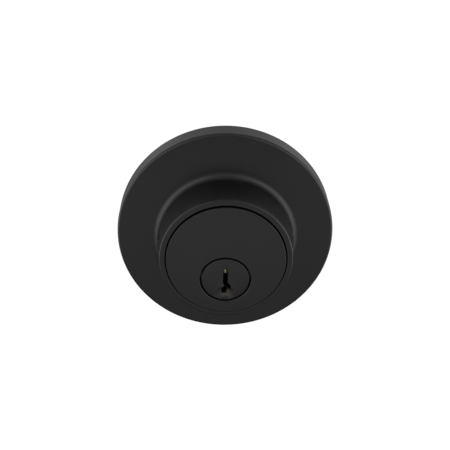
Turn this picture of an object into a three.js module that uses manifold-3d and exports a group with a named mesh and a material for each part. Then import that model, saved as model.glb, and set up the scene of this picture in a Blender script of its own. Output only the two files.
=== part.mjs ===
// Keyed outer half of a tubular deadbolt door lock, as it comes out of its box: a black trim rose, a
// five-pin cylinder with its plug, pins and springs, the carrier that clamps them, and the tailpiece.
// Millimetres. +Z is up and +X is to the right for someone facing the keyed side. The origin is on the
// lock's axis in the plane of the door's outer face, so what is outside has a negative Y and what goes
// into the door has a positive Y.
import * as THREE from 'three';
import { mergeVertices } from 'three/addons/utils/BufferGeometryUtils.js';
import Module from 'manifold-3d';

const wasm = await Module();
wasm.setup();

// Rose: a disc on the door with a round boss that guards the cylinder.
const discRadius = 31.75;
const discFront = -6.2;
const discDraft = 0.92;
const discEdge = 0.75;
const filletRadius = 2.6;
const bossBase = 18.6;
const bossTip = 17.4;
const bossFront = discFront - 11.5;
const bossEdge = 0.35;
const bossBore = 16;
const hollowRadius = 29.2;
const hollowRoof = discFront + 2.4;

// Cylinder: the barrel that fills the boss, held by a flange behind it.
const barrelRadius = 15.6;
const barrelFront = bossFront - 0.46;
const barrelEdge = 0.25;
const barrelBack = barrelFront + 27;
const flangeRadius = 20.6;
const flangeFront = hollowRoof + 0.3;
const flangeBack = -1.2;

// Plug: its axis is below the lock's axis, which leaves room above it for the pins.
const plugDrop = 5.2;
const headRadius = 6.35;
const headLength = 2.3;
const headGap = 0.35;
const headEdge = 0.15;
const plugRadius = 5.85;
const plugGap = 0.2;
const plugFront = barrelFront + 0.06;
const plugBack = barrelBack + 0.3;

// Keyway, measured from the plug's axis: a straight slot, a ward that bulges to the right and a leg to
// the left. The shallow dish around its foot guides the key in.
const keyway = [
  [-0.57, 3.3], [-0.57, -1.2], [-0.2, -1.6], [-0.3, -2.2], [-0.95, -2.9], [-0.95, -4.3],
  [0.35, -4.3], [0.35, -2.75], [1.45, -2.9], [1.45, -1.9], [0.57, -0.7], [0.57, 3.3],
];
const dishRadius = 4.2;
const dishDepth = 0.45;
const dishDrop = 4.3;

// Pin chambers, counted from the face. The stacks stand as a key holds them, parted at the plug's rim.
const firstPin = plugFront + 5.9;
const pinPitch = 3.97;
const pinRadius = 1.45;
const pinGap = 0.2;
const pinEdge = 0.15;
const keyPinTop = 5.6;
const keyPinLengths = [7.2, 6.4, 5.6, 6.8, 6.0];
const keyPinCone = 1.3;
const keyPinTip = 0.35;
const plugChamberFloor = -2.4;
const driverBottom = keyPinTop - plugDrop + 0.35;
const driverLength = 5;
const springWire = 0.2;
const springRadius = 1.12;
const springTurns = 6;
const springGap = 0.1;

// Cover strip over the chambers, in a slot along the top of the barrel.
const coverBottom = 14.1;
const coverThickness = 1;
const coverWidth = 4.4;
const coverOverlap = 2.2;
const coverGap = 0.15;

// Hardened rods that stop a drill between the face and the first chamber.
const rodRadius = 0.9;
const rodOffset = 3.3;
const rodDepth = barrelFront + 3.1;
const rodBottom = 2.4;
const rodLength = 9;
const rodGap = 0.15;

// Tailpiece, and the plate that holds its head in the back of the plug and keeps the plug in the barrel.
const tailHeadRadius = 3.1;
const tailHeadThickness = 1;
const tailRecess = 1.4;
const tailWidth = 5.8;
const tailThickness = 1.5;
const tailEnd = 58;
const tailTip = 1.2;
const tailGrooves = 4;
const tailGroovePitch = 6.35;
const tailGrooveSize = 0.5;
const tailGap = 0.2;
const plateRadius = 7.6;
const plateThickness = 1.6;
const plateFront = plugBack + 0.2;
const plateBack = plateFront + plateThickness;
const tailScrewOffset = 4.55;
const tailScrewRadius = 0.7;
const tailScrewLength = 5;
const tailScrewHeadRadius = 1.3;
const tailScrewHeadHeight = 1;

// Carrier: the plate in the door's bore that clamps the cylinder to the rose, and its two posts.
const carrierRadius = 26;
const carrierFront = -0.9;
const carrierBack = carrierFront + 3;
const carrierBore = barrelRadius + 0.35;
const columnOffset = 22.6;
const columnRadius = 2.8;
const notchRadius = columnRadius + 0.3;
const screwRadius = 1.35;
const screwHeadRadius = 2.6;
const screwHeadHeight = 1.2;
const screwTip = -4.6;
const screwGap = 0.15;
const postOffset = 20.2;
const postRadius = 3.9;
const postFront = carrierBack + 0.2;
const postEnd = 20;
const postBore = 2.1;
const postBoreDepth = 14;
const spigotRadius = 2.4;
const spigotFront = carrierFront + 0.3;

const roundSteps = 64;
const smallSteps = 20;

function finish(color, roughness, metalness) {
  return new THREE.MeshStandardMaterial({ color, roughness, metalness });
}

const blackFinish = finish(0x1a1a1a, 0.5, 0.3);
const brass = finish(0xb08d3c, 0.35, 0.9);
const steel = finish(0x9a9c9e, 0.35, 0.9);
const springSteel = finish(0x6c6e72, 0.3, 0.95);
const zinc = finish(0xa6a8a8, 0.5, 0.85);

// A closed geometry as a solid that can be joined and cut.
function solid(geometry) {
  const bare = geometry.clone();
  bare.deleteAttribute('normal');
  bare.deleteAttribute('uv');
  const merged = mergeVertices(bare, 1e-4);
  return new wasm.Manifold(
    new wasm.Mesh({
      numProp: 3,
      vertProperties: merged.attributes.position.array,
      triVerts: new Uint32Array(merged.index.array),
    }),
  );
}

// The base geometry with the added pieces joined to it and the cut pieces taken out.
function carve(base, { add = [], cut = [] }) {
  let made = solid(base);
  for (const piece of add) made = made.add(solid(piece));
  for (const tool of cut) made = made.subtract(solid(tool));
  const mesh = made.getMesh();
  const geometry = new THREE.BufferGeometry();
  geometry.setAttribute('position', new THREE.BufferAttribute(mesh.vertProperties, 3));
  geometry.setIndex(new THREE.BufferAttribute(mesh.triVerts, 1));
  const faceted = geometry.toNonIndexed();
  faceted.computeVertexNormals();
  return faceted;
}

// Points of an arc in a turned outline, from one angle to another in degrees.
function arc(r, y, radius, from, to, steps) {
  const points = [];
  for (let i = 0; i <= steps; i++) {
    const angle = THREE.MathUtils.degToRad(from + ((to - from) * i) / steps);
    points.push([r + radius * Math.cos(angle), y + radius * Math.sin(angle)]);
  }
  return points;
}

// A [radius, y] outline turned about the Y axis. It runs up from the axis and back to it with its
// inside on the left, or it closes on itself.
function turn(outline, steps) {
  const points = outline.map(([r, y]) => new THREE.Vector2(r, y));
  return new THREE.LatheGeometry(points, steps);
}

// A round rod along Y between two depths.
function rodAlongY(radius, front, back, x = 0, z = 0, steps = smallSteps) {
  const rod = new THREE.CylinderGeometry(radius, radius, back - front, steps);
  return rod.translate(x, (front + back) / 2, z);
}

// A round rod along Z between two heights.
function rodAlongZ(radius, bottom, top, x = 0, y = 0, steps = smallSteps) {
  const rod = new THREE.CylinderGeometry(radius, radius, top - bottom, steps);
  return rod.rotateX(Math.PI / 2).translate(x, y, (bottom + top) / 2);
}

// A box between its lowest and highest corners.
function block(low, high) {
  const size = high.map((value, i) => value - low[i]);
  const middle = high.map((value, i) => (value + low[i]) / 2);
  return new THREE.BoxGeometry(...size).translate(...middle);
}

function named(name, geometry, material, x = 0, y = 0, z = 0) {
  const mesh = new THREE.Mesh(geometry, material);
  mesh.name = name;
  mesh.position.set(x, y, z);
  return mesh;
}

// The depth of a pin chamber's axis.
function chamberDepth(index) {
  return firstPin + index * pinPitch;
}

const lock = new THREE.Group();

// --- Rose ---------------------------------------------------------------------------------------

function roseGeometry() {
  const rimFront = discRadius - discDraft;
  const shell = turn(
    [
      [hollowRadius, 0],
      [hollowRadius, hollowRoof],
      [bossBore, hollowRoof],
      [bossBore, bossFront],
      ...arc(bossTip - bossEdge, bossFront + bossEdge, bossEdge, -90, 0, 3),
      ...arc(bossBase + filletRadius, discFront - filletRadius, filletRadius, 180, 90, 7),
      ...arc(rimFront - discEdge, discFront + discEdge, discEdge, -90, 0, 4),
      [discRadius, 0],
      [hollowRadius, 0],
    ],
    roundSteps,
  );
  const columns = [];
  const holes = [];
  for (const side of [1, -1]) {
    const z = side * columnOffset;
    columns.push(rodAlongY(columnRadius, hollowRoof - 1, flangeBack, 0, z));
    holes.push(rodAlongY(screwRadius + screwGap, screwTip - 0.4, 1, 0, z));
  }
  return carve(shell, { add: columns, cut: holes });
}

lock.add(named('rose', roseGeometry(), blackFinish));

// --- Cylinder body ------------------------------------------------------------------------------

function cylinderBodyGeometry() {
  const barrel = turn(
    [
      [0, barrelFront],
      ...arc(barrelRadius - barrelEdge, barrelFront + barrelEdge, barrelEdge, -90, 0, 2),
      [barrelRadius, flangeFront],
      [flangeRadius, flangeFront],
      [flangeRadius, flangeBack],
      [barrelRadius, flangeBack],
      [barrelRadius, barrelBack],
      [0, barrelBack],
    ],
    roundSteps,
  );
  const boreRadius = plugRadius + plugGap;
  const mouthRadius = headRadius + headGap;
  const mouthBack = plugFront + headLength + plugGap;
  const cuts = [
    rodAlongY(boreRadius, barrelFront - 1, barrelBack + 1, 0, -plugDrop, 48),
    rodAlongY(mouthRadius, barrelFront - 1, mouthBack, 0, -plugDrop, 48),
  ];
  const slotFront = chamberDepth(0) - coverOverlap - coverGap;
  const slotBack = chamberDepth(keyPinLengths.length - 1) + coverOverlap + coverGap;
  const slotHalf = coverWidth / 2 + coverGap;
  cuts.push(block([-slotHalf, slotFront, coverBottom - coverGap], [slotHalf, slotBack, flangeRadius]));
  keyPinLengths.forEach((length, i) => {
    cuts.push(rodAlongZ(pinRadius + pinGap, -plugDrop, coverBottom, 0, chamberDepth(i)));
  });
  for (const side of [1, -1]) {
    const bottom = rodBottom - rodGap;
    cuts.push(rodAlongZ(rodRadius + rodGap, bottom, barrelRadius, side * rodOffset, rodDepth));
    cuts.push(rodAlongY(notchRadius, flangeFront - 0.1, flangeBack + 1, 0, side * columnOffset));
  }
  return carve(barrel, { cut: cuts });
}

lock.add(named('cylinder_body', cylinderBodyGeometry(), blackFinish));

function coverGeometry() {
  const front = chamberDepth(0) - coverOverlap;
  const back = chamberDepth(keyPinLengths.length - 1) + coverOverlap;
  const half = coverWidth / 2;
  return block([-half, front, coverBottom], [half, back, coverBottom + coverThickness]);
}

lock.add(named('chamber_cover', coverGeometry(), brass));

for (const [name, side] of [['anti_drill_rod_left', -1], ['anti_drill_rod_right', 1]]) {
  const rod = rodAlongZ(rodRadius, 0, rodLength);
  lock.add(named(name, rod, steel, side * rodOffset, rodDepth, rodBottom));
}

// --- Plug and what turns with it, built about the plug's own axis ---------------------------------

const plugGroup = new THREE.Group();
plugGroup.position.z = -plugDrop;
lock.add(plugGroup);

function keywayCutter() {
  const outline = new THREE.Shape(keyway.map(([x, z]) => new THREE.Vector2(x, z)));
  const length = plugBack - plugFront + 2;
  const cutter = new THREE.ExtrudeGeometry(outline, { depth: length, bevelEnabled: false });
  return cutter.rotateX(Math.PI / 2).translate(0, plugBack + 1, 0);
}

function plugGeometry() {
  const shoulder = plugFront + headLength;
  const body = turn(
    [
      [0, plugFront],
      ...arc(headRadius - headEdge, plugFront + headEdge, headEdge, -90, 0, 2),
      [headRadius, shoulder],
      [plugRadius, shoulder],
      [plugRadius, plugBack],
      [0, plugBack],
    ],
    48,
  );
  const dish = new THREE.SphereGeometry(dishRadius, 24, 16);
  const cuts = [
    keywayCutter(),
    dish.translate(0, plugFront + dishDepth - dishRadius, -dishDrop),
    rodAlongY(tailHeadRadius + tailGap, plugBack - tailRecess, plugBack + 1, 0, 0, 32),
  ];
  keyPinLengths.forEach((length, i) => {
    cuts.push(rodAlongZ(pinRadius + pinGap, plugChamberFloor, headRadius, 0, chamberDepth(i)));
  });
  for (const side of [1, -1]) {
    const tip = plateBack - tailScrewLength - screwGap;
    cuts.push(rodAlongY(tailScrewRadius + screwGap, tip, plugBack + 1, side * tailScrewOffset));
  }
  return carve(body, { cut: cuts });
}

plugGroup.add(named('plug', plugGeometry(), blackFinish));

// A pin stands on its own bottom end, with a small bevel round each flat end.
function keyPinGeometry(length) {
  const outline = [
    [0, 0],
    [keyPinTip, 0.1],
    [pinRadius, keyPinCone],
    [pinRadius, length - pinEdge],
    [pinRadius - pinEdge, length],
    [0, length],
  ];
  return turn(outline, smallSteps).rotateX(Math.PI / 2);
}

keyPinLengths.forEach((length, i) => {
  const pin = keyPinGeometry(length);
  plugGroup.add(named(`key_pin_${i + 1}`, pin, brass, 0, chamberDepth(i), keyPinTop - length));
});

// --- Driver pins and springs, in the barrel -------------------------------------------------------

function driverGeometry() {
  const outline = [
    [0, 0],
    [pinRadius - pinEdge, 0],
    [pinRadius, pinEdge],
    [pinRadius, driverLength - pinEdge],
    [pinRadius - pinEdge, driverLength],
    [0, driverLength],
  ];
  return turn(outline, smallSteps).rotateX(Math.PI / 2);
}

class Helix extends THREE.Curve {
  constructor(radius, height, turns) {
    super();
    this.radius = radius;
    this.height = height;
    this.turns = turns;
  }

  getPoint(t, target = new THREE.Vector3()) {
    const angle = t * this.turns * 2 * Math.PI;
    const { radius, height } = this;
    return target.set(radius * Math.cos(angle), radius * Math.sin(angle), t * height);
  }
}

function springGeometry() {
  const wire = [];
  for (let i = 0; i < 5; i++) {
    const angle = (i * 2 * Math.PI) / 5;
    wire.push(new THREE.Vector2(springWire * Math.cos(angle), springWire * Math.sin(angle)));
  }
  const bottom = driverBottom + driverLength + springGap + springWire;
  const top = coverBottom - springGap - springWire;
  return new THREE.ExtrudeGeometry(new THREE.Shape(wire), {
    steps: springTurns * 8,
    extrudePath: new Helix(springRadius, top - bottom, springTurns),
  }).translate(0, 0, bottom);
}

keyPinLengths.forEach((length, i) => {
  const y = chamberDepth(i);
  lock.add(named(`driver_pin_${i + 1}`, driverGeometry(), brass, 0, y, driverBottom));
  lock.add(named(`pin_spring_${i + 1}`, springGeometry(), springSteel, 0, y));
});

// --- Tailpiece, its plate and its screws ----------------------------------------------------------

// The opening lets the blade swing a quarter turn, from upright towards the left, before it drives.
function bladeOpening() {
  const reach = tailHeadRadius;
  const half = tailThickness / 2 + tailGap;
  const front = plateFront - 1;
  const back = plateBack + 1;
  const upright = block([-half, front, -reach], [half, back, reach]);
  const level = block([-reach, front, -half], [reach, back, half]);
  const wedges = [0.5 * Math.PI, 1.5 * Math.PI].map((from) => {
    const wedge = new THREE.Shape();
    wedge.moveTo(0, 0);
    wedge.lineTo(reach * Math.cos(from), reach * Math.sin(from));
    wedge.absarc(0, 0, reach, from, from + Math.PI / 2, false);
    const slab = new THREE.ExtrudeGeometry(wedge, {
      depth: back - front,
      bevelEnabled: false,
      curveSegments: 8,
    });
    return slab.rotateX(Math.PI / 2).translate(0, back, 0);
  });
  return [upright, level, ...wedges];
}

function tailPlateGeometry() {
  const disc = rodAlongY(plateRadius, plateFront, plateBack, 0, 0, 48);
  const holes = [1, -1].map((side) =>
    rodAlongY(tailScrewRadius + screwGap, plateFront - 1, plateBack + 1, side * tailScrewOffset),
  );
  return carve(disc, { cut: [...bladeOpening(), ...holes] });
}

plugGroup.add(named('tail_plate', tailPlateGeometry(), steel));

// A slotted screw along Y, with its head's seat at y = 0 and its tip towards -Y.
function screwGeometry({ shank, length, head, height, slot }) {
  const body = turn(
    [
      [0, -length],
      [shank - 0.25, -length],
      [shank, 0.35 - length],
      [shank, 0],
      [head, 0],
      [head, height * 0.6],
      [head * 0.75, height],
      [0, height],
    ],
    smallSteps,
  );
  return carve(body, {
    cut: [block([-head - 1, height * 0.5, -slot / 2], [head + 1, height + 1, slot / 2])],
  });
}

for (const [name, side] of [['tail_screw_left', -1], ['tail_screw_right', 1]]) {
  const screw = screwGeometry({
    shank: tailScrewRadius,
    length: tailScrewLength,
    head: tailScrewHeadRadius,
    height: tailScrewHeadHeight,
    slot: 0.45,
  });
  plugGroup.add(named(name, screw, steel, side * tailScrewOffset, plateBack + 0.1));
}

function tailpieceGeometry() {
  const headBack = plugBack - 0.1;
  const half = tailThickness / 2;
  const edge = tailWidth / 2;
  const outline = new THREE.Shape();
  outline.moveTo(-edge, headBack - 0.2);
  outline.lineTo(edge, headBack - 0.2);
  outline.lineTo(edge, tailEnd - tailTip);
  outline.lineTo(edge - tailTip, tailEnd);
  outline.lineTo(tailTip - edge, tailEnd);
  outline.lineTo(-edge, tailEnd - tailTip);
  const blade = new THREE.ExtrudeGeometry(outline, { depth: tailThickness, bevelEnabled: false });
  blade.translate(0, 0, -half).rotateY(Math.PI / 2);
  const grooves = [];
  for (let i = 1; i <= tailGrooves; i++) {
    const y = tailEnd - i * tailGroovePitch;
    for (const side of [1, -1]) {
      const x = side * half;
      const size = tailGrooveSize / 2;
      grooves.push(block([x - size / 2, y - size, -edge - 1], [x + size / 2, y + size, edge + 1]));
    }
  }
  const head = rodAlongY(tailHeadRadius, headBack - tailHeadThickness, headBack, 0, 0, 32);
  return carve(head, { add: [blade], cut: grooves });
}

plugGroup.add(named('tailpiece', tailpieceGeometry(), steel));

// --- Carrier, its screws and its posts --------------------------------------------------------------

function carrierGeometry() {
  const plate = turn(
    [
      [carrierBore, carrierBack],
      [carrierBore, carrierFront],
      [carrierRadius, carrierFront],
      [carrierRadius, carrierBack - 0.6],
      [carrierRadius - 0.6, carrierBack],
      [carrierBore, carrierBack],
    ],
    roundSteps,
  );
  const cuts = [];
  for (const side of [1, -1]) {
    const z = side * columnOffset;
    const seat = carrierBack - screwHeadHeight - screwGap;
    cuts.push(rodAlongY(screwRadius + screwGap, carrierFront - 1, carrierBack + 1, 0, z));
    cuts.push(rodAlongY(screwHeadRadius + screwGap, seat, carrierBack + 1, 0, z));
    const x = side * postOffset;
    cuts.push(rodAlongY(spigotRadius + screwGap, carrierFront - 1, carrierBack + 1, x, 0));
  }
  return carve(plate, { cut: cuts });
}

lock.add(named('carrier', carrierGeometry(), zinc));

for (const [name, side] of [['carrier_screw_upper', 1], ['carrier_screw_lower', -1]]) {
  const seat = carrierBack - screwHeadHeight;
  const screw = screwGeometry({
    shank: screwRadius,
    length: seat - screwTip,
    head: screwHeadRadius,
    height: screwHeadHeight,
    slot: 0.8,
  });
  lock.add(named(name, screw, steel, 0, seat, side * columnOffset));
}

function postGeometry() {
  const body = turn(
    [
      [0, spigotFront],
      [spigotRadius, spigotFront],
      [spigotRadius, postFront],
      [postRadius, postFront],
      [postRadius, postEnd - 0.4],
      [postRadius - 0.4, postEnd],
      [0, postEnd],
    ],
    24,
  );
  return carve(body, { cut: [rodAlongY(postBore, postEnd - postBoreDepth, postEnd + 1)] });
}

for (const [name, side] of [['mount_post_left', -1], ['mount_post_right', 1]]) {
  lock.add(named(name, postGeometry(), steel, side * postOffset));
}

export default lock;
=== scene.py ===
"""Looks of the keyed outer half of a deadbolt door lock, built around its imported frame.

Pieces are modelled in millimetres in the row frame (+Z up, the keyed face towards -Y, the origin on the
lock's axis in the plane of the door) and scaled to metres when they are finished.
"""

import math

import bmesh
import bpy
from mathutils import Matrix, Vector


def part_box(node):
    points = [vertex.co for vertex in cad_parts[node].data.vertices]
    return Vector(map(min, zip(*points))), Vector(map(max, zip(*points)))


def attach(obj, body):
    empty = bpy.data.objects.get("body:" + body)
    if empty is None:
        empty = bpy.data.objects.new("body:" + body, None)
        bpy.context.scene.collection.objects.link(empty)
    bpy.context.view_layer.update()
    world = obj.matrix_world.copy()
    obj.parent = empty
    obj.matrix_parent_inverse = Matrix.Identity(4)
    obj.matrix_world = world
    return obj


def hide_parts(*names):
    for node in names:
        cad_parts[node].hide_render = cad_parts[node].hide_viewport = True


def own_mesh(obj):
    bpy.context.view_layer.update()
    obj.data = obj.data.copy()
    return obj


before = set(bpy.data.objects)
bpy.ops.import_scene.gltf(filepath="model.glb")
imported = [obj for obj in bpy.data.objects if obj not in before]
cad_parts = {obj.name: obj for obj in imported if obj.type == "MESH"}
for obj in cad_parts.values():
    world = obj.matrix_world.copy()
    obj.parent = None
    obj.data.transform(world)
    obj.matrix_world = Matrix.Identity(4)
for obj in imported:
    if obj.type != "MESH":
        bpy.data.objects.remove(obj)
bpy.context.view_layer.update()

MM = 0.001


def corners_mm(node):
    """Lowest and highest corners of a CAD node, in millimetres."""
    low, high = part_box(node)
    return low / MM, high / MM


# --- Sizes: from the frame where it states them, and in millimetres ----------------------------------

ROSE_LOW, ROSE_HIGH = corners_mm("rose")
BODY_LOW, BODY_HIGH = corners_mm("cylinder_body")
PLUG_LOW, PLUG_HIGH = corners_mm("plug")
COVER_LOW, COVER_HIGH = corners_mm("chamber_cover")
CARRIER_LOW, CARRIER_HIGH = corners_mm("carrier")
PLATE_LOW, PLATE_HIGH = corners_mm("tail_plate")
TAIL_HIGH = corners_mm("tailpiece")[1]
POST_LOW, POST_HIGH = corners_mm("mount_post_right")
ROD_LOW, ROD_HIGH = corners_mm("anti_drill_rod_right")
TAIL_SCREW_LOW, TAIL_SCREW_HIGH = corners_mm("tail_screw_right")
CARRIER_SCREW_LOW, CARRIER_SCREW_HIGH = corners_mm("carrier_screw_upper")
KEY_PIN_LOW, KEY_PIN_HIGH = corners_mm("key_pin_1")

DISC_RADIUS = ROSE_HIGH.x
DISC_FRONT = -6.2
DISC_DRAFT = 0.92
DISC_EDGE = 0.9
FILLET = 2.3
BOSS_BASE = 18.85
BOSS_TIP = 17.4
BOSS_FRONT = ROSE_LOW.y
BOSS_EDGE = 0.35
BOSS_BORE = 16.0
HOLLOW_RADIUS = 29.2
HOLLOW_ROOF = DISC_FRONT + 2.4

BARREL_RADIUS = 15.6
BARREL_FRONT = BODY_LOW.y
BARREL_BACK = BODY_HIGH.y
BARREL_EDGE = 0.12
FLANGE_RADIUS = BODY_HIGH.x
FLANGE_FRONT = HOLLOW_ROOF + 0.3
FLANGE_BACK = -1.2

PLUG_Z = (PLUG_LOW.z + PLUG_HIGH.z) / 2
PLUG_FRONT = PLUG_LOW.y
PLUG_BACK = PLUG_HIGH.y
HEAD_RADIUS = PLUG_HIGH.x
HEAD_BACK = PLUG_FRONT + 2.3
MOUTH_GAP = 0.5
KEYWAY_EDGE = 0.1
PLUG_RADIUS = 5.85
PLUG_GAP = 0.2
KEYWAY = (
    (-0.62, 3.3), (-0.62, -1.2), (-0.25, -1.6), (-0.35, -2.2), (-0.97, -2.9), (-0.97, -4.45),
    (0.45, -4.45), (0.45, -2.95), (1.55, -3.1), (1.55, -1.95), (0.62, -0.7), (0.62, 3.3),
)
DISH_RADIUS = 6.5
DISH_DEPTH = 0.45
DISH_Z = PLUG_Z - 4.2

PIN_COUNT = 5
FIRST_PIN_Y = PLUG_FRONT + 5.9
PIN_SPACING = 3.97
PIN_EDGE = 0.12
PIN_CONE = 0.85
PIN_TIP = 0.35
PIN_GAP = 0.2
CHAMBER_RADIUS = (KEY_PIN_HIGH.x - KEY_PIN_LOW.x) / 2 + PIN_GAP
CHAMBER_FLOOR = PLUG_Z - 2.4

SMALL_GAP = 0.15
BLADE_HALF_THICK = 0.75
BLADE_HALF_WIDE = 2.9
BLADE_TIP = 1.2
TAIL_HEAD_RADIUS = 3.1
TAIL_HEAD_HIGH = 1.0
TAIL_HEAD_BACK = PLUG_BACK - 0.1
TAIL_RECESS = 1.4
GROOVE_COUNT = 4
GROOVE_SPACING = 6.35
GROOVE_DEPTH = 0.13
GROOVE_REACH = 4.0
TAIL_SCREW_RADIUS = 0.7
TAIL_SCREW_HOLE = TAIL_SCREW_RADIUS + SMALL_GAP
TAIL_SCREW_X = (TAIL_SCREW_LOW.x + TAIL_SCREW_HIGH.x) / 2

CARRIER_BORE = BARREL_RADIUS + 0.35
COLUMN_RADIUS = 2.8
COLUMN_HOLE_END = -5.0
COLUMN_GAP = 0.3
COLUMN_Z = (CARRIER_SCREW_LOW.z + CARRIER_SCREW_HIGH.z) / 2
CARRIER_SCREW_RADIUS = 1.35
CARRIER_SCREW_HOLE = CARRIER_SCREW_RADIUS + SMALL_GAP
CARRIER_HEAD_RADIUS = (CARRIER_SCREW_HIGH.x - CARRIER_SCREW_LOW.x) / 2
CARRIER_RECESS = 1.35
POST_X = (POST_LOW.x + POST_HIGH.x) / 2
SPIGOT_RADIUS = 2.4
POST_HOLE_RADIUS = 2.1
POST_HOLE_DEPTH = 14.0
THREAD_PITCH = 0.8
THREAD_DEPTH = 0.25

STAKE_X = 1.55
STAKE_DEPTH = 0.32
WIRE_RADIUS = 0.2
SPRING_TURNS = 6.5

# --- Camera ----------------------------------------------------------------------------------------

CAMERA_TARGET = Vector((-0.33, DISC_FRONT, 5.3)) * MM
CAMERA_DISTANCE = 105.9 * MM
CAMERA_AZIMUTH = math.radians(-1.87)
CAMERA_ELEVATION = math.radians(25.52)
CAMERA_ROLL = math.radians(2.42)
CAMERA_LENS = 30.04


def add_camera():
    """A close camera above the lock, looking down at its face."""
    outward = math.cos(CAMERA_ELEVATION)
    back = Vector((
        math.sin(CAMERA_AZIMUTH) * outward,
        -math.cos(CAMERA_AZIMUTH) * outward,
        math.sin(CAMERA_ELEVATION),
    ))
    level = (-back).cross(Vector((0, 0, 1))).normalized()
    upright = back.cross(level)
    right = level * math.cos(CAMERA_ROLL) + upright * math.sin(CAMERA_ROLL)
    up = upright * math.cos(CAMERA_ROLL) - level * math.sin(CAMERA_ROLL)
    lens = bpy.data.cameras.new("camera")
    lens.lens = CAMERA_LENS
    lens.sensor_width = 36
    lens.clip_start = 0.005
    camera = bpy.data.objects.new("camera", lens)
    turn = Matrix((right, up, back)).transposed().to_4x4()
    camera.matrix_world = Matrix.Translation(CAMERA_TARGET + back * CAMERA_DISTANCE) @ turn
    bpy.context.scene.collection.objects.link(camera)
    bpy.context.scene.camera = camera


add_camera()

# --- Shader nodes ------------------------------------------------------------------------------------


def node(tree, kind, inputs=None, **settings):
    """A shader node with its settings and inputs, each input a value or another node's output."""
    made = tree.nodes.new("ShaderNode" + kind)
    for name, value in settings.items():
        setattr(made, name, value)
    for name, value in (inputs or {}).items():
        if isinstance(value, bpy.types.NodeSocket):
            tree.links.new(value, made.inputs[name])
        else:
            made.inputs[name].default_value = value
    return made


def place(tree):
    """A point's place in the row frame, in metres."""
    return node(tree, "TexCoord").outputs["Object"]


def noise(tree, vector, scale, detail=2.0, rough=0.5):
    inputs = {"Vector": vector, "Scale": scale, "Detail": detail, "Roughness": rough}
    return node(tree, "TexNoise", inputs).outputs["Fac"]


def ramp(tree, value, low, high, to_low=0.0, to_high=1.0):
    """Carries value from low..high to to_low..to_high, held at both ends."""
    inputs = {
        "Value": value, "From Min": low, "From Max": high, "To Min": to_low, "To Max": to_high,
    }
    return node(tree, "MapRange", inputs).outputs["Result"]


def maths(tree, operation, first, second):
    return node(tree, "Math", {0: first, 1: second}, operation=operation).outputs[0]


def blend_value(tree, factor, first, second):
    return node(tree, "Mix", {0: factor, 2: first, 3: second}).outputs[0]


def blend_colour(tree, factor, first, second):
    def rgba(value):
        return (*value, 1.0) if isinstance(value, tuple) else value

    inputs = {0: factor, 6: rgba(first), 7: rgba(second)}
    return node(tree, "Mix", inputs, data_type="RGBA").outputs[2]


def turned_place(tree, z_mm):
    """(distance from the line along Y at that height, depth), which draws rings on turned work."""
    low = node(tree, "VectorMath", {0: place(tree), 1: (0, 0, z_mm * MM)}, operation="SUBTRACT")
    flat = node(tree, "VectorMath", {0: low.outputs[0], 1: (1, 0, 1)}, operation="MULTIPLY")
    radius = node(tree, "VectorMath", {0: flat.outputs[0]}, operation="LENGTH").outputs["Value"]
    depth = node(tree, "SeparateXYZ", {0: low.outputs[0]}).outputs["Y"]
    return node(tree, "CombineXYZ", {0: radius, 1: depth}).outputs[0]


def new_material(name):
    material = bpy.data.materials.new(name)
    material.use_nodes = True
    return material, material.node_tree, material.node_tree.nodes["Principled BSDF"]


def bump(tree, surface, height, depth_mm):
    """Raises the surface by height, which runs from 0 to 1, times a depth in millimetres."""
    inputs = {"Height": height, "Distance": depth_mm * MM, "Strength": 1.0}
    tree.links.new(node(tree, "Bump", inputs).outputs[0], surface.inputs["Normal"])


def connect(tree, surface, **sockets):
    for name, value in sockets.items():
        tree.links.new(value, surface.inputs[name.replace("_", " ").title()])


# --- Materials ---------------------------------------------------------------------------------------

COAT_DARK = (0.0034, 0.0034, 0.0035)
COAT_LIGHT = (0.0052, 0.0052, 0.0053)
COAT_WORN = (0.016, 0.015, 0.014)
KEY_WORN = (0.040, 0.034, 0.029)
BRASS_CLEAN = (0.60, 0.46, 0.23)
BRASS_DULL = (0.38, 0.29, 0.15)
PIN_CLEAN = (0.66, 0.60, 0.42)
PIN_DULL = (0.48, 0.42, 0.27)
STEEL_CLEAN = (0.37, 0.365, 0.35)
STEEL_DULL = (0.30, 0.295, 0.28)
STEEL_EDGE = (0.72, 0.71, 0.69)
SPRING_CLEAN = (0.46, 0.46, 0.48)
SPRING_DULL = (0.30, 0.30, 0.32)
ROD_DULL = (0.20, 0.20, 0.21)
ZINC_BLUE = (0.55, 0.57, 0.60)
ZINC_YELLOW = (0.58, 0.54, 0.42)
ZINC_CELL = (0.36, 0.37, 0.38)
ZINC_EDGE = (0.72, 0.72, 0.71)


def coat_looks(tree, roughness):
    """Colour, roughness and height of a satin black powder coat with a fine orange peel."""
    at = place(tree)
    cloud = noise(tree, at, 150, 3)
    peel = noise(tree, at, 1500, 1)
    grain = noise(tree, at, 6500, 2, 0.6)
    colour = blend_colour(tree, ramp(tree, cloud, 0.35, 0.65), COAT_DARK, COAT_LIGHT)
    edge = node(tree, "Attribute", attribute_name="wear").outputs["Fac"]
    rubbed = maths(tree, "MULTIPLY", edge, ramp(tree, noise(tree, at, 900, 4, 0.65), 0.42, 0.62))
    colour = blend_colour(tree, rubbed, colour, COAT_WORN)
    uneven = maths(tree, "ADD", ramp(tree, cloud, 0.3, 0.7, -0.03, 0.03), roughness)
    speckled = maths(tree, "ADD", uneven, ramp(tree, grain, 0.3, 0.7, -0.04, 0.04))
    dull = maths(tree, "SUBTRACT", speckled, maths(tree, "MULTIPLY", rubbed, 0.08))
    height = blend_value(tree, 0.35, peel, grain)
    return colour, dull, height


def coat_material(name, roughness):
    material, tree, surface = new_material(name)
    colour, dull, height = coat_looks(tree, roughness)
    connect(tree, surface, base_color=colour, roughness=dull)
    bump(tree, surface, height, 0.006)
    surface.inputs["Specular IOR Level"].default_value = 0.5
    return material


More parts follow.
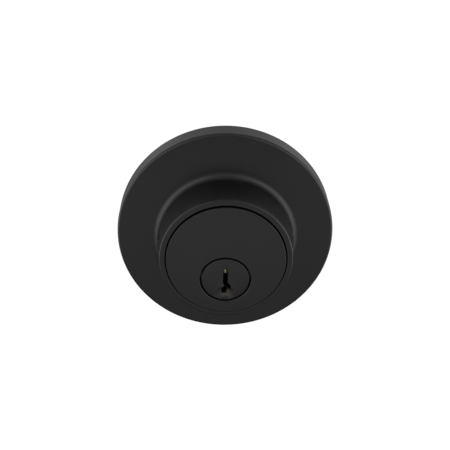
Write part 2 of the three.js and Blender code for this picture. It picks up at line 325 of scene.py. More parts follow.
def brass_looks(tree, z_mm, clean=BRASS_CLEAN, tarnished=BRASS_DULL):
    """Colour, roughness and height of turned brass, with tool marks and a little tarnish."""
    at = place(tree)
    tool_marks = noise(tree, turned_place(tree, z_mm), 9000, 3, 0.7)
    tarnish = ramp(tree, noise(tree, at, 1400, 3, 0.55), 0.30, 0.75)
    colour = blend_colour(tree, tarnish, clean, tarnished)
    streaked = ramp(tree, tool_marks, 0.3, 0.7, -0.07, 0.07)
    dull = maths(tree, "ADD", streaked, ramp(tree, tarnish, 0, 1, 0.24, 0.40))
    return colour, dull, tool_marks


def rubbed_round(tree, x_mm, y_mm, z_mm, reach_mm):
    """1 near a point, fading out unevenly to 0 at the reach."""
    centre = (x_mm * MM, y_mm * MM, z_mm * MM)
    away = node(tree, "VectorMath", {0: place(tree), 1: centre}, operation="DISTANCE").outputs["Value"]
    uneven = ramp(tree, noise(tree, place(tree), 1300, 5, 0.75), 0.35, 0.65, -0.9 * MM, 0.9 * MM)
    return ramp(tree, maths(tree, "ADD", away, uneven), 0.2 * reach_mm * MM, reach_mm * MM, 1.0, 0.0)


def coated_brass_material(name, z_mm, coat_end_mm, roughness, rubbed_at=None):
    """Black coat on the visible front of a brass piece, thinning out to bare brass further in."""
    material, tree, surface = new_material(name)
    at = place(tree)
    depth = node(tree, "SeparateXYZ", {0: at}).outputs["Y"]
    ragged = ramp(tree, noise(tree, at, 700, 3), 0.3, 0.7, -0.0005, 0.0005)
    line = maths(tree, "ADD", depth, ragged)
    bare = ramp(tree, line, (coat_end_mm - 0.6) * MM, (coat_end_mm + 0.6) * MM)
    coat = coat_looks(tree, roughness)
    brass = brass_looks(tree, z_mm)
    coat_colour = coat[0]
    if rubbed_at:
        coat_colour = blend_colour(tree, rubbed_round(tree, *rubbed_at), coat_colour, KEY_WORN)
    colour = blend_colour(tree, bare, coat_colour, brass[0])
    dull = blend_value(tree, bare, coat[1], brass[1])
    height = blend_value(tree, bare, coat[2], brass[2])
    connect(tree, surface, base_color=colour, roughness=dull, metallic=bare)
    bump(tree, surface, height, 0.005)
    surface.inputs["Specular IOR Level"].default_value = 0.5
    return material


def brass_material(name, z_mm, clean, tarnished):
    material, tree, surface = new_material(name)
    colour, dull, height = brass_looks(tree, z_mm, clean, tarnished)
    connect(tree, surface, base_color=colour, roughness=dull)
    bump(tree, surface, height, 0.004)
    surface.inputs["Metallic"].default_value = 1.0
    return material


def steel_material(name, clean, dull, stretch, roughness=0.32):
    """Steel with fine marks that run along the directions in which stretch is small."""
    material, tree, surface = new_material(name)
    at = place(tree)
    drawn = node(tree, "VectorMath", {0: at, 1: stretch}, operation="MULTIPLY").outputs[0]
    marks = noise(tree, drawn, 3200, 3, 0.65)
    clouds = noise(tree, at, 800, 4, 0.6)
    edge = node(tree, "Attribute", attribute_name="wear").outputs["Fac"]
    colour = blend_colour(tree, ramp(tree, clouds, 0.35, 0.68), clean, dull)
    polished = blend_colour(tree, maths(tree, "MULTIPLY", edge, 0.5), colour, STEEL_EDGE)
    streaks = ramp(tree, marks, 0.3, 0.7, -0.08, 0.08)
    uneven = ramp(tree, clouds, 0.3, 0.7, roughness - 0.05, roughness + 0.07)
    connect(tree, surface, base_color=polished, roughness=maths(tree, "ADD", streaks, uneven))
    bump(tree, surface, marks, 0.003)
    surface.inputs["Metallic"].default_value = 1.0
    return material


def plated_material(name, roughness=0.36):
    """Zinc plate: bluish with yellow clouds, and a faint crystal pattern under fine scratches."""
    material, tree, surface = new_material(name)
    at = place(tree)
    clouds = noise(tree, at, 120, 4, 0.6)
    cells = node(tree, "TexVoronoi", {"Vector": at, "Scale": 900}).outputs["Distance"]
    scratches = noise(tree, turned_place(tree, 0.0), 5200, 3, 0.7)
    edge = node(tree, "Attribute", attribute_name="wear").outputs["Fac"]
    colour = blend_colour(tree, ramp(tree, clouds, 0.40, 0.72), ZINC_BLUE, ZINC_YELLOW)
    toned = blend_colour(tree, ramp(tree, cells, 0.1, 0.8, 0.0, 0.25), colour, ZINC_CELL)
    polished = blend_colour(tree, maths(tree, "MULTIPLY", edge, 0.5), toned, ZINC_EDGE)
    uneven = ramp(tree, cells, 0.0, 0.9, roughness - 0.06, roughness + 0.06)
    streaks = ramp(tree, scratches, 0.3, 0.7, -0.06, 0.06)
    connect(tree, surface, base_color=polished, roughness=maths(tree, "ADD", uneven, streaks))
    bump(tree, surface, blend_value(tree, 0.4, scratches, cells), 0.004)
    surface.inputs["Metallic"].default_value = 1.0
    return material


ROSE_COAT = coat_material("rose_coat", 0.36)
CYLINDER_COAT = coated_brass_material("cylinder_coat", 0.0, BARREL_FRONT + 5.0, 0.34)
PLUG_COAT = coated_brass_material(
    "plug_coat", PLUG_Z, PLUG_FRONT + 3.2, 0.34, (0.2, PLUG_FRONT, DISH_Z, 2.3)
)
PIN_BRASS = brass_material("pin_brass", PLUG_Z, PIN_CLEAN, PIN_DULL)
COVER_BRASS = steel_material("cover_brass", BRASS_CLEAN, BRASS_DULL, (1, 0.05, 1))
SPRING_STEEL = steel_material("spring_steel", SPRING_CLEAN, SPRING_DULL, (1, 1, 1), 0.26)
HARD_STEEL = steel_material("hardened_steel", SPRING_DULL, ROD_DULL, (1, 1, 0.05), 0.3)
BLADE_STEEL = steel_material("blade_steel", STEEL_CLEAN, STEEL_DULL, (1, 0.04, 1), 0.38)
SCREW_STEEL = plated_material("screw_plate", 0.3)
CARRIER_STEEL = plated_material("carrier_plate")
POST_STEEL = plated_material("post_plate", 0.3)

# --- Shapes ------------------------------------------------------------------------------------------

OVER = 1.0
SHARP_ANGLE = math.radians(38)
WORN_ANGLE = math.radians(14)
UPRIGHT = Matrix.Rotation(math.radians(90), 4, "X")


def as_mesh(shape):
    bmesh.ops.recalc_face_normals(shape, faces=shape.faces)
    mesh = bpy.data.meshes.new("shape")
    shape.to_mesh(mesh)
    shape.free()
    return mesh


def lofted(sections):
    """A closed solid through a row of rings with the same number of points each."""
    shape = bmesh.new()
    rings = [[shape.verts.new(point) for point in section] for section in sections]
    count = len(rings[0])
    for ring, other in zip(rings, rings[1:]):
        for i in range(count):
            j = (i + 1) % count
            shape.faces.new((ring[i], ring[j], other[j], other[i]))
    shape.faces.new(rings[0])
    shape.faces.new(rings[-1])
    return as_mesh(shape)


def softened(outline, closed=False, steps=5):
    """An outline whose corners with a third number are rounded to that radius."""
    points = []
    last = len(outline) - 1
    for i, (across, along, *rounding) in enumerate(outline):
        here = Vector((across, along))
        if not rounding or (not closed and i in (0, last)):
            points.append(here)
            continue
        before = (Vector(outline[i - 1][:2]) - here).normalized()
        after = (Vector(outline[(i + 1) % len(outline)][:2]) - here).normalized()
        half = before.angle(after) / 2
        middle = here + (before + after).normalized() * rounding[0] / math.sin(half)
        reach = rounding[0] / math.tan(half)
        start = here + before * reach - middle
        end = here + after * reach - middle
        first = math.atan2(start.y, start.x)
        sweep = (math.atan2(end.y, end.x) - first + math.pi) % (2 * math.pi) - math.pi
        for k in range(steps + 1):
            angle = first + sweep * k / steps
            points.append(middle + Vector((math.cos(angle), math.sin(angle))) * rounding[0])
    return points


def turned(outline, steps=96, x=0.0, z=0.0, closed=False):
    """A solid from a (radius, y) outline turned about the line along Y through x and z."""
    shape = bmesh.new()
    turns = [2 * math.pi * i / steps for i in range(steps)]
    rings = []
    for radius, y in outline:
        angles = turns if radius > 0 else turns[:1]
        rings.append([
            shape.verts.new((x + radius * math.cos(a), y, z + radius * math.sin(a)))
            for a in angles
        ])
    for ring, other in zip(rings, rings[1:] + rings[:1] if closed else rings[1:]):
        for i in range(steps):
            j = (i + 1) % steps
            corners = (
                ring[i % len(ring)], ring[j % len(ring)],
                other[j % len(other)], other[i % len(other)],
            )
            shape.faces.new(list(dict.fromkeys(corners)))
    if not closed:
        for ring in (rings[0], rings[-1]):
            if len(ring) > 1:
                shape.faces.new(ring)
    return as_mesh(shape)


def bore(radius, mouth, end, flare=0.0, x=0.0, z=0.0, steps=64):
    """A cutter for a round hole along Y from the face at mouth, with its edge broken by flare."""
    outward = OVER if mouth > end else -OVER
    return turned([
        (radius + flare + OVER, mouth + outward),
        (radius, mouth - outward * flare / OVER),
        (radius, end),
    ], steps, x, z)


def upright(mesh, x=0.0, y=0.0, z=0.0):
    """Stands a mesh made along Y up along Z."""
    mesh.transform(Matrix.Translation((x, y, z)) @ UPRIGHT)
    return mesh


def bevelled(mesh, width, steps=3, sharper=math.radians(30)):
    shape = bmesh.new()
    shape.from_mesh(mesh)
    edges = [e for e in shape.edges if e.calc_face_angle(0) > sharper]
    bmesh.ops.bevel(
        shape, geom=edges, offset=width, offset_type="OFFSET", affect="EDGES",
        segments=steps, profile=0.5, clamp_overlap=True,
    )
    return as_mesh(shape)


def block(low, high, edge=0.0):
    """A box between two corners, with rounded edges."""
    shape = bmesh.new()
    bmesh.ops.create_cube(shape, size=1.0)
    size = [b - a for a, b in zip(low, high)]
    middle = [(a + b) / 2 for a, b in zip(low, high)]
    bmesh.ops.scale(shape, vec=size, verts=shape.verts)
    bmesh.ops.translate(shape, vec=middle, verts=shape.verts)
    mesh = as_mesh(shape)
    return bevelled(mesh, edge) if edge else mesh


def carved(base, cuts=(), joins=()):
    """The base mesh with the joins added to it and the cuts taken out."""
    body = bpy.data.objects.new("carved", base)
    bpy.context.scene.collection.objects.link(body)
    tools = []
    for operation, shapes in (("UNION", joins), ("DIFFERENCE", cuts)):
        for shape in shapes:
            tool = bpy.data.objects.new("tool", shape)
            bpy.context.scene.collection.objects.link(tool)
            step = body.modifiers.new("carve", "BOOLEAN")
            step.operation = operation
            step.solver = "EXACT"
            step.object = tool
            tools.append(tool)
    made = bpy.data.meshes.new_from_object(
        body.evaluated_get(bpy.context.evaluated_depsgraph_get())
    )
    for tool in (*tools, body):
        bpy.data.objects.remove(tool)
    return made


def mark_wear(mesh):
    """Marks the middle of each rounded edge, where a coat or plate wears first."""
    shape = bmesh.new()
    shape.from_mesh(mesh)
    wear = []
    for vertex in shape.verts:
        angles = [e.calc_face_angle_signed(0) for e in vertex.link_edges if len(e.link_faces) == 2]
        steepest = max(angles, default=0)
        wear.append(1.0 if WORN_ANGLE < steepest < SHARP_ANGLE else 0.0)
    shape.free()
    layer = mesh.attributes.new("wear", "FLOAT", "POINT")
    layer.data.foreach_set("value", wear)


def piece(name, mesh, material, body, slot, *nodes):
    """A finished mesh in millimetres as a piece that rides on a body and stands for CAD nodes."""
    shape = bmesh.new()
    shape.from_mesh(mesh)
    bmesh.ops.remove_doubles(shape, verts=shape.verts, dist=0.002)
    bmesh.ops.dissolve_degenerate(shape, edges=shape.edges, dist=0.001)
    made = as_mesh(shape)
    made.name = name
    mark_wear(made)
    made.transform(Matrix.Scale(MM, 4))
    made.shade_smooth()
    made.set_sharp_from_angle(angle=SHARP_ANGLE)
    made.materials.clear()
    made.materials.append(material)
    item = bpy.data.objects.new(name, made)
    bpy.context.scene.collection.objects.link(item)
    normals = item.modifiers.new("even_normals", "WEIGHTED_NORMAL")
    normals.keep_sharp = True
    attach(item, body)
    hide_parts(*nodes)
    return item


# --- Rose --------------------------------------------------------------------------------------------


def rose_mesh():
    wall_lean = (BOSS_BASE - BOSS_TIP) / (DISC_FRONT - FILLET - BOSS_FRONT - BOSS_EDGE)
    fillet_corner = BOSS_BASE + FILLET * wall_lean
    outline = softened([
        (HOLLOW_RADIUS, 0, 0.25),
        (HOLLOW_RADIUS, HOLLOW_ROOF, 0.8),
        (BOSS_BORE, HOLLOW_ROOF, 0.25),
        (BOSS_BORE, BOSS_FRONT, 0.05),
        (BOSS_TIP, BOSS_FRONT, BOSS_EDGE),
        (fillet_corner, DISC_FRONT, FILLET),
        (DISC_RADIUS - DISC_DRAFT, DISC_FRONT, DISC_EDGE),
        (DISC_RADIUS, 0, 0.06),
    ], closed=True, steps=8)
    shell = turned(outline, 256, closed=True)
    columns = []
    holes = []
    for side in (1, -1):
        z = side * COLUMN_Z
        column = softened([
            (COLUMN_RADIUS / 2, HOLLOW_ROOF - 1),
            (COLUMN_RADIUS, HOLLOW_ROOF - 1),
            (COLUMN_RADIUS, FLANGE_BACK, 0.2),
            (COLUMN_RADIUS / 2, FLANGE_BACK),
        ])
        columns.append(turned(column, 64, 0, z))
        holes.append(bore(CARRIER_SCREW_HOLE, FLANGE_BACK, COLUMN_HOLE_END, 0.2, 0, z))
    return carved(shell, holes, columns)


piece("rose_shell", rose_mesh(), ROSE_COAT, "housing", "black_rose", "rose")

# --- Cylinder ----------------------------------------------------------------------------------------


def chamber_y(index):
    return FIRST_PIN_Y + PIN_SPACING * index


def cylinder_mesh():
    barrel = turned(softened([
        (BARREL_RADIUS / 2, BARREL_FRONT),
        (BARREL_RADIUS, BARREL_FRONT, BARREL_EDGE),
        (BARREL_RADIUS, FLANGE_FRONT, 0.2),
        (FLANGE_RADIUS, FLANGE_FRONT, 0.25),
        (FLANGE_RADIUS, FLANGE_BACK, 0.25),
        (BARREL_RADIUS, FLANGE_BACK, 0.2),
        (BARREL_RADIUS, BARREL_BACK, 0.5),
        (BARREL_RADIUS / 2, BARREL_BACK),
    ]), 256)
    bore_radius = PLUG_RADIUS + PLUG_GAP
    mouth_radius = HEAD_RADIUS + MOUTH_GAP
    rod_hole = (ROD_HIGH.x - ROD_LOW.x) / 2 + SMALL_GAP
    rod_x = (ROD_LOW.x + ROD_HIGH.x) / 2
    rod_y = (ROD_LOW.y + ROD_HIGH.y) / 2
    notch_radius = COLUMN_RADIUS + COLUMN_GAP
    cuts = [
        bore(bore_radius, BARREL_BACK, BARREL_FRONT - OVER, 0.25, 0, PLUG_Z, 160),
        bore(mouth_radius, BARREL_FRONT, HEAD_BACK + PLUG_GAP, 0.08, 0, PLUG_Z, 160),
    ]
    slot_low = (COVER_LOW.x - SMALL_GAP, COVER_LOW.y - SMALL_GAP, COVER_LOW.z - SMALL_GAP)
    slot_high = (COVER_HIGH.x + SMALL_GAP, COVER_HIGH.y + SMALL_GAP, FLANGE_RADIUS)
    cuts.append(block(slot_low, slot_high))
    for i in range(PIN_COUNT):
        chamber = turned([(CHAMBER_RADIUS, PLUG_Z), (CHAMBER_RADIUS, COVER_LOW.z)], 48)
        cuts.append(upright(chamber, 0, chamber_y(i)))
    for side in (1, -1):
        hole = turned([(rod_hole, ROD_LOW.z - SMALL_GAP), (rod_hole, BARREL_RADIUS)], 40)
        cuts.append(upright(hole, side * rod_x, rod_y))
        notch = [(notch_radius, FLANGE_FRONT - OVER), (notch_radius, FLANGE_BACK + OVER)]
        cuts.append(turned(notch, 64, 0, side * COLUMN_Z))
    return carved(barrel, cuts)


piece("cylinder_shell", cylinder_mesh(), CYLINDER_COAT, "housing", "black_cylinder", "cylinder_body")


def cover_mesh():
    """The strip over the chambers, staked down along both long edges."""
    strip = block(COVER_LOW, COVER_HIGH, 0.18)
    marks = []
    for i in range(PIN_COUNT - 1):
        for side in (1, -1):
            pit = turned([(0, 0), (0.28, 0.3), (0.5, 0.62)], 24)
            y = (chamber_y(i) + chamber_y(i + 1)) / 2
            marks.append(upright(pit, side * STAKE_X, y, COVER_HIGH.z - STAKE_DEPTH))
    return carved(strip, marks)


piece("cover_strip", cover_mesh(), COVER_BRASS, "housing", "cover_brass", "chamber_cover")

for side in ("left", "right"):
    low, high = corners_mm("anti_drill_rod_" + side)
    radius = (high.x - low.x) / 2
    rod = turned(softened([
        (radius / 2, low.z), (radius, low.z, 0.25), (radius, high.z, 0.25), (radius / 2, high.z),
    ]), 40)
    upright(rod, (low.x + high.x) / 2, (low.y + high.y) / 2)
    piece("drill_rod_" + side, rod, HARD_STEEL, "housing", "hardened_steel", "anti_drill_rod_" + side)

# --- Plug --------------------------------------------------------------------------------------------


def widened(outline, by):
    """A closed outline, drawn anticlockwise or clockwise, moved outwards by a distance."""
    count = len(outline)
    area = sum(
        outline[i - 1][0] * outline[i][1] - outline[i][0] * outline[i - 1][1] for i in range(count)
    )
    way = math.copysign(by, area)
    moved = []
    for i, here in enumerate(outline):
        before = (Vector(here) - Vector(outline[i - 1])).normalized()
        after = (Vector(outline[(i + 1) % count]) - Vector(here)).normalized()
        first = Vector((before.y, -before.x))
        second = Vector((after.y, -after.x))
        moved.append(Vector(here) + (first + second) * way / (1 + first.dot(second)))
    return moved


def keyway_cutter():
    """The keyway's outline right through the plug, with its mouth rounded over."""
    outline = softened([(x, z, 0.13) for x, z in KEYWAY], closed=True, steps=3)
    depths = [(KEYWAY_EDGE, PLUG_FRONT - OVER)]
    for k in range(6):
        angle = math.pi / 2 * k / 5
        inward = KEYWAY_EDGE * (1 - math.sin(angle))
        depths.append((inward, PLUG_FRONT + KEYWAY_EDGE * (1 - math.cos(angle))))
    depths.append((0, PLUG_BACK + OVER))
    sections = []
    for by, y in depths:
        sections.append([(p.x, y, p.y + PLUG_Z) for p in widened(outline, by)])
    return lofted(sections)


def plug_mesh():
    core = turned(softened([
        (HEAD_RADIUS / 2, PLUG_FRONT),
        (HEAD_RADIUS, PLUG_FRONT, 0.15),
        (HEAD_RADIUS, HEAD_BACK, 0.1),
        (PLUG_RADIUS, HEAD_BACK, 0.1),
        (PLUG_RADIUS, PLUG_BACK, 0.2),
        (PLUG_RADIUS / 2, PLUG_BACK),
    ]), 192, 0, PLUG_Z)
    centre_y = PLUG_FRONT + DISH_DEPTH - DISH_RADIUS
    dish = [(0, PLUG_FRONT + DISH_DEPTH)]
    for k in range(1, 17):
        angle = math.radians(40) * k / 16
        dish.append((DISH_RADIUS * math.sin(angle), centre_y + DISH_RADIUS * math.cos(angle)))
    cuts = [
        turned(dish, 96, 0, DISH_Z),
        keyway_cutter(),
        bore(TAIL_HEAD_RADIUS + PLUG_GAP, PLUG_BACK, PLUG_BACK - TAIL_RECESS, 0.15, 0, PLUG_Z),
    ]
    for i in range(PIN_COUNT):
        chamber = turned([(CHAMBER_RADIUS, CHAMBER_FLOOR), (CHAMBER_RADIUS, PLUG_Z + HEAD_RADIUS)], 48)
        cuts.append(upright(chamber, 0, chamber_y(i)))
    screw_end = TAIL_SCREW_LOW.y - SMALL_GAP
    for side in (1, -1):
        x = side * TAIL_SCREW_X
        cuts.append(bore(TAIL_SCREW_HOLE, PLUG_BACK, screw_end, 0.1, x, PLUG_Z, 40))
    return carved(core, cuts)


piece("plug_core", plug_mesh(), PLUG_COAT, "plug", "black_plug", "plug")

# --- Pins and springs ----------------------------------------------------------------------------------


def key_pin_mesh(low, high):
    radius = (high.x - low.x) / 2
    return turned(softened([
        (0, low.z),
        (PIN_TIP, low.z + 0.1, 0.2),
        (radius, low.z + PIN_CONE, 0.3),
        (radius, high.z, PIN_EDGE),
        (radius / 2, high.z),
    ]), 48)


def driver_pin_mesh(low, high):
    radius = (high.x - low.x) / 2
    return turned(softened([
        (radius / 2, low.z),
        (radius, low.z, PIN_EDGE),
        (radius, high.z, PIN_EDGE),
        (radius / 2, high.z),
    ]), 48)


def spring_mesh(low, high):
    """A compression spring of round wire, with a closed turn at each end."""
    radius = (high.x - low.x) / 2 - WIRE_RADIUS
    steps = 208
    sides = 10
    closed_share = 1 / SPRING_TURNS
    bottom = low.z + WIRE_RADIUS
    rise = high.z - low.z - 2 * WIRE_RADIUS
    flat = 2 * WIRE_RADIUS / rise
    sections = []
    for k in range(steps + 1):
        t = k / steps
        if t < closed_share:
            height = flat * t / closed_share
        elif t > 1 - closed_share:
            height = 1 - flat * (1 - t) / closed_share
        else:
            height = flat + (1 - 2 * flat) * (t - closed_share) / (1 - 2 * closed_share)
        angle = 2 * math.pi * SPRING_TURNS * t
        outward = Vector((math.cos(angle), math.sin(angle), 0))
        centre = outward * radius + Vector((0, 0, bottom + rise * height))
        ring = []
        for s in range(sides):
            around = 2 * math.pi * s / sides
            side = outward * math.cos(around) + Vector((0, 0, 1)) * math.sin(around)
            ring.append(centre + side * WIRE_RADIUS)
        sections.append(ring)
    return lofted(sections)


for i in range(PIN_COUNT):
    number = str(i + 1)
    low, high = corners_mm("key_pin_" + number)
    pin = upright(key_pin_mesh(low, high), 0, chamber_y(i))
    piece("key_pin_turned_" + number, pin, PIN_BRASS, "key_pin_" + number, "pin_brass",
          "key_pin_" + number)

    low, high = corners_mm("driver_pin_" + number)
    pin = upright(driver_pin_mesh(low, high), 0, chamber_y(i))
    piece("driver_pin_turned_" + number, pin, PIN_BRASS, "driver_pin_" + number, "pin_brass",
          "driver_pin_" + number)

    low, high = corners_mm("pin_spring_" + number)
    coil = spring_mesh(low, high)
    coil.transform(Matrix.Translation((0, chamber_y(i), 0)))
    spring = piece("spring_coil_" + number, coil, SPRING_STEEL, "housing", "spring_steel",
                   "pin_spring_" + number)
    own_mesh(spring)

# --- Tail plate, tailpiece and screws --------------------------------------------------------------------


def bow_tie(reach, half, front, back):
    """The opening that lets the blade swing a quarter turn, from upright towards the left."""
    shapes = [
        block((-half, front, PLUG_Z - reach), (half, back, PLUG_Z + reach)),
        block((-reach, front, PLUG_Z - half), (reach, back, PLUG_Z + half)),
    ]
    for first in (90, 270):
        arc = [(0.0, PLUG_Z)]
        for k in range(13):
            angle = math.radians(first + 90 * k / 12)
            arc.append((reach * math.cos(angle), PLUG_Z + reach * math.sin(angle)))
        shapes.append(lofted([[(x, y, z) for x, z in arc] for y in (front, back)]))
    return shapes


def tail_plate_mesh():
    radius = (PLATE_HIGH.x - PLATE_LOW.x) / 2
    disc = turned(softened([
        (radius / 2, PLATE_LOW.y),
        (radius, PLATE_LOW.y, 0.2),
        (radius, PLATE_HIGH.y, 0.35),
        (radius / 2, PLATE_HIGH.y),
    ]), 128, 0, PLUG_Z)
    half = BLADE_HALF_THICK + 0.2
    opening = bow_tie(TAIL_HEAD_RADIUS, half, PLATE_LOW.y - OVER, PLATE_HIGH.y + OVER)
    holes = []
    for side in (1, -1):
        x = side * TAIL_SCREW_X
        holes.append(bore(TAIL_SCREW_HOLE, PLATE_HIGH.y, PLATE_LOW.y - OVER, 0.12, x, PLUG_Z, 40))
    return carved(disc, opening + holes)


piece("tail_retainer", tail_plate_mesh(), CARRIER_STEEL, "plug", "plated_steel", "tail_plate")


def screw_mesh(low, high, shank, height, slot, pitch):
    """A slotted screw along Y between its corners, with its thread up to the head."""
    x = (low.x + high.x) / 2
    z = (low.z + high.z) / 2
    head = (high.x - low.x) / 2
    seat = high.y - height
    tip = low.y
    root = shank - pitch * 0.45
    outline = [(root * 0.6, tip), (root, tip + (root * 0.4))]
    y = tip + pitch
    while y < seat - pitch:
        crest = y + pitch * 0.4
        outline += [(root, y), (shank, crest), (shank, crest + pitch * 0.1), (root, y + pitch * 0.9)]
        y += pitch
    outline += [(root, seat - 0.01), (root, seat)]
    outline += softened([
        (root, seat),
        (head, seat, height * 0.15),
        (head, seat + height * 0.6, height * 0.2),
        (head * 0.78, high.y, height * 0.3),
        (head * 0.4, high.y),
    ])[1:]
    body = turned(outline, 72, x, z)
    groove = block(
        (x - head - 1, high.y - height * 0.5, z - slot / 2),
        (x + head + 1, high.y + 1, z + slot / 2),
    )
    return carved(body, [groove])


for side in ("left", "right"):
    low, high = corners_mm("tail_screw_" + side)
    screw = screw_mesh(low, high, TAIL_SCREW_RADIUS, 1.0, 0.45, 0.4)
    piece("tail_screw_slotted_" + side, screw, SCREW_STEEL, "plug", "screw_steel", "tail_screw_" + side)


def tailpiece_mesh():
    """The blade with its cut tip, its break-off grooves and the round head inside the plug."""
    start = TAIL_HEAD_BACK - 0.2
    end = TAIL_HIGH.y
    low = PLUG_Z - BLADE_HALF_WIDE
    high = PLUG_Z + BLADE_HALF_WIDE
    outline = [
        (start, low), (end - BLADE_TIP, low), (end, low + BLADE_TIP),
        (end, high - BLADE_TIP), (end - BLADE_TIP, high), (start, high),
    ]
    sides = (-BLADE_HALF_THICK, BLADE_HALF_THICK)
    blade = bevelled(lofted([[(x, y, z) for y, z in outline] for x in sides]), 0.18)
    head = turned(softened([
        (TAIL_HEAD_RADIUS / 2, TAIL_HEAD_BACK - TAIL_HEAD_HIGH),
        (TAIL_HEAD_RADIUS, TAIL_HEAD_BACK - TAIL_HEAD_HIGH, 0.15),
        (TAIL_HEAD_RADIUS, TAIL_HEAD_BACK, 0.15),
        (TAIL_HEAD_RADIUS / 2, TAIL_HEAD_BACK),
    ]), 64, 0, PLUG_Z)
    grooves = []
    for i in range(GROOVE_COUNT):
        middle = end - GROOVE_SPACING * (i + 1)
        for side in (1, -1):
            inner = side * BLADE_HALF_THICK - side * GROOVE_DEPTH
            outer = side * BLADE_HALF_THICK + side * 0.3
            notch = [(inner, middle), (outer, middle - 0.55), (outer, middle + 0.55)]
            ends = (PLUG_Z - GROOVE_REACH, PLUG_Z + GROOVE_REACH)
            grooves.append(lofted([[(x, y, z) for x, y in notch] for z in ends]))
    return carved(blade, grooves, [head])


piece("tail_blade", tailpiece_mesh(), BLADE_STEEL, "tailpiece", "plated_steel", "tailpiece")

# --- Carrier, its screws and its posts -------------------------------------------------------------------


def carrier_mesh():
    front = CARRIER_LOW.y
    back = CARRIER_HIGH.y
    radius = CARRIER_HIGH.x
    plate = turned(softened([
        (CARRIER_BORE, front, 0.25),
        (radius, front, 0.25),
        (radius, back, 0.6),
        (CARRIER_BORE, back, 0.3),
    ], closed=True), 256, closed=True)
    cuts = []
    for side in (1, -1):
        z = side * COLUMN_Z
        cuts.append(bore(CARRIER_SCREW_HOLE, back, front - OVER, 0, 0, z, 48))
        cuts.append(bore(CARRIER_HEAD_RADIUS + SMALL_GAP, back, back - CARRIER_RECESS, 0.15, 0, z))
        cuts.append(bore(SPIGOT_RADIUS + SMALL_GAP, back, front - OVER, 0.1, side * POST_X, 0))
    return carved(plate, cuts)


piece("carrier_plate", carrier_mesh(), CARRIER_STEEL, "housing", "carrier_steel", "carrier")

for side in ("upper", "lower"):
    low, high = corners_mm("carrier_screw_" + side)
    screw = screw_mesh(low, high, CARRIER_SCREW_RADIUS, 1.2, 0.8, 0.5)
    piece("carrier_screw_slotted_" + side, screw, SCREW_STEEL, "housing", "screw_steel",
          "carrier_screw_" + side)


def post_mesh(low, high):
    """A post with a spigot, threaded inside, built about the Y axis."""
    radius = (high.x - low.x) / 2
    seat = CARRIER_HIGH.y + 0.2
    outline = softened([
        (SPIGOT_RADIUS / 2, low.y),
        (SPIGOT_RADIUS, low.y, 0.2),
        (SPIGOT_RADIUS, seat),
        (radius, seat, 0.2),
        (radius, high.y, 0.4),
        (POST_HOLE_RADIUS + 0.4, high.y),
        (POST_HOLE_RADIUS, high.y - 0.4),
    ], steps=4)
    y = high.y - 0.4
    bottom = high.y - POST_HOLE_DEPTH
    while y - THREAD_PITCH > bottom + 1:
        outline += [
            (POST_HOLE_RADIUS, y - 0.05),
            (POST_HOLE_RADIUS + THREAD_DEPTH, y - THREAD_PITCH / 2),
            (POST_HOLE_RADIUS, y - THREAD_PITCH + 0.05),
        ]
        y -= THREAD_PITCH
    outline += [(POST_HOLE_RADIUS, bottom), (0, bottom)]
    return turned(outline, 96)


for side in ("left", "right"):
    low, high = corners_mm("mount_post_" + side)
    post = post_mesh(low, high)
    post.transform(Matrix.Translation(((low.x + high.x) / 2, 0, 0)))
    piece("threaded_post_" + side, post, POST_STEEL, "housing", "post_steel", "mount_post_" + side)

# --- Floor, backdrop and light ------------------------------------------------------------------------

FLOOR_Z = -0.16
WHITE = 1.05
PANELS = (
    ("front", 0, -26, 34, 0.58),
    ("beside the front", 15, -26, 30, 0.38),
    ("below", 0, -90, 1.5, 0.13),
    ("front corners", 56, 5, 10, 1.9),
    ("high front corners", 36, 35, 14, 1.3),
    ("sides", 100, -10, 10, 1.7),
    ("behind the sides", 131, 22, 14, 1.15),
    ("behind", 180, 35, 10, 0.38),
    ("above", 180, 80, 6, 0.56),
)


def white_for_camera(tree, otherwise):
    """Plain white where the camera sees it, and otherwise the given shader."""
    white = node(tree, "Emission", {"Color": (1, 1, 1, 1), "Strength": WHITE}).outputs[0]
    seen = node(tree, "LightPath").outputs["Is Camera Ray"]
    return node(tree, "MixShader", {0: seen, 1: otherwise, 2: white}).outputs[0]


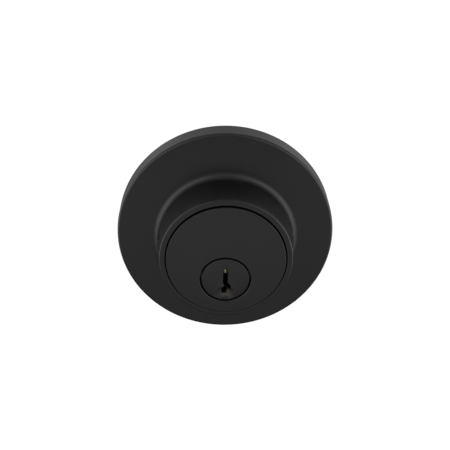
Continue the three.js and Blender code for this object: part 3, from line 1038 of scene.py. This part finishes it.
def add_floor():
    """A floor that is white to the camera and lets the light from below through to the object."""
    shape = bmesh.new()
    bmesh.ops.create_grid(shape, x_segments=8, y_segments=8, size=3.0)
    floor = bpy.data.objects.new("floor", as_mesh(shape))
    floor.location.z = FLOOR_Z
    material = bpy.data.materials.new("floor")
    material.use_nodes = True
    tree = material.node_tree
    tree.nodes.clear()
    clear = node(tree, "BsdfTransparent").outputs[0]
    node(tree, "OutputMaterial", {"Surface": white_for_camera(tree, clear)})
    floor.data.materials.append(material)
    bpy.context.scene.collection.objects.link(floor)


def set_world():
    """A room of soft panels, each with an azimuth, elevation, tightness and strength.

    Azimuths start in front of the lock, and each panel is there on the left as on the right.
    """
    world = bpy.data.worlds.new("studio")
    world.use_nodes = True
    tree = world.node_tree
    tree.nodes.clear()
    direction = node(tree, "TexCoord").outputs["Generated"]
    mirrored = node(tree, "VectorMath", {0: direction}, operation="ABSOLUTE").outputs[0]
    side = node(tree, "SeparateXYZ", {0: mirrored}).outputs["X"]
    parts = node(tree, "SeparateXYZ", {0: direction}).outputs
    folded = node(tree, "CombineXYZ", {0: side, 1: parts["Y"], 2: parts["Z"]}).outputs[0]
    total = 0.0
    for _, azimuth, elevation, tightness, strength in PANELS:
        turn = math.radians(azimuth)
        lift = math.radians(elevation)
        towards = (
            math.sin(turn) * math.cos(lift),
            -math.cos(turn) * math.cos(lift),
            math.sin(lift),
        )
        facing = node(tree, "VectorMath", {0: folded, 1: towards}, operation="DOT_PRODUCT")
        short = maths(tree, "SUBTRACT", facing.outputs["Value"], 1.0)
        fall = maths(tree, "MULTIPLY", short, tightness)
        glow = node(tree, "Math", {0: fall}, operation="EXPONENT").outputs[0]
        total = maths(tree, "ADD", maths(tree, "MULTIPLY", glow, strength), total)
    lit = node(tree, "Background", {"Color": (1, 1, 1, 1), "Strength": total}).outputs[0]
    node(tree, "OutputWorld", {"Surface": white_for_camera(tree, lit)})
    bpy.context.scene.world = world


add_floor()
set_world()
bpy.context.scene.view_settings.view_transform = "Standard"
